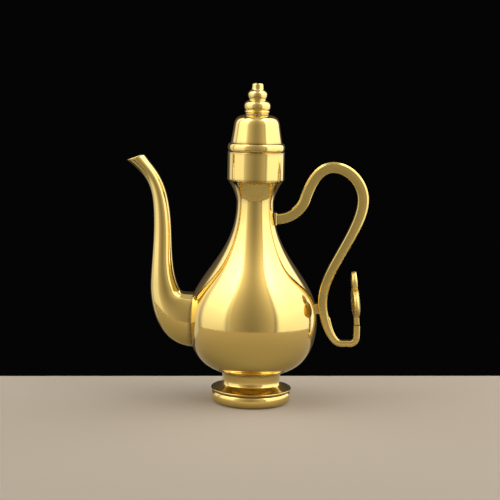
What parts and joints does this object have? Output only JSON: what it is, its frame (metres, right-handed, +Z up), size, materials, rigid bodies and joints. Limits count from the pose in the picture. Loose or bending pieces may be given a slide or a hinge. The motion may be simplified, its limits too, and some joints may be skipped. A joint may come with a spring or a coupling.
{
  "type": "brass wine pot",
  "caption": "Polished brass wine pot: pear-shaped body on a turned foot, long S-curved spout, loop handle with a leaf on its hooked tail, and a lift-off domed lid with a finial.",
  "frame": {"origin": "on the table, under the middle of the box round the whole pot", "axes": "+Z up along the pot's turned axis, -X towards the spout, +X towards the handle, +Y across the pot"},
  "size_m": [0.1884, 0.1012, 0.25],
  "materials": {
    "spun_brass": "mirror polished",
    "cast_brass": "polished casting",
    "inner_brass": "left as turned"
  },
  "bodies": {
    "pot": {"neck_shell": "spun_brass", "belly_shell": "spun_brass", "base_bowl": "spun_brass", "bottom_disc": "inner_brass", "mouth_collar": "spun_brass", "foot_stand": "spun_brass", "foot_rim": "spun_brass", "spout": "spun_brass", "handle_bar": "cast_brass", "handle_neck_pad": "cast_brass", "handle_belly_lug": "cast_brass", "tail_leaf": "cast_brass"},
    "lid": {"lid_dome": "spun_brass", "lid_bead_ring": "spun_brass", "lid_skirt": "inner_brass", "finial": "spun_brass", "finial_washer": "inner_brass", "finial_nut": "inner_brass"}
  },
  "joints": [
    {"name": "lid_lift", "type": "slide", "parent": "pot", "child": "lid", "axis": [0, 0, 1], "range_m": [0, 0.06]}
  ]
}
